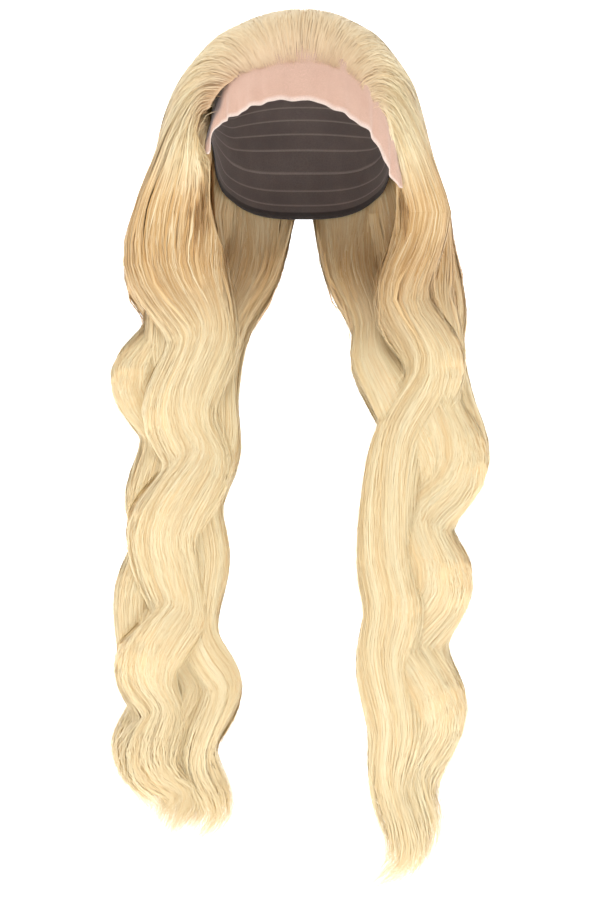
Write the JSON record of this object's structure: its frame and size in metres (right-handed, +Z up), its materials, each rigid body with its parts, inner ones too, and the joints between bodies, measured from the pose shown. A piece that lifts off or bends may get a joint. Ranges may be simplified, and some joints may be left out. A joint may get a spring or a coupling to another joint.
{
  "type": "lace front wig",
  "caption": "Long body-wave lace front wig: sheer lace front, stretch net cap, swept-back hair over the head and a waved fall of locks in front of each shoulder.",
  "frame": {"origin": "top of the head that the wig sits on, on the inside of the cap's crown", "axes": "+Z up, -Y towards the front of the face, +X to the right of someone who looks at the face"},
  "size_m": [0.3079, 0.2115, 0.7226],
  "materials": {
    "lace": "sheer beige hair lace, matt",
    "net": "dark grey stretch net, matt",
    "hair": "pale golden blonde hair, silky"
  },
  "bodies": {
    "root": {"lace_front": "lace", "net_cap": "net", "hair_crown": "hair", "hair_fall_left": "hair", "hair_fall_right": "hair"}
  },
  "joints": []
}
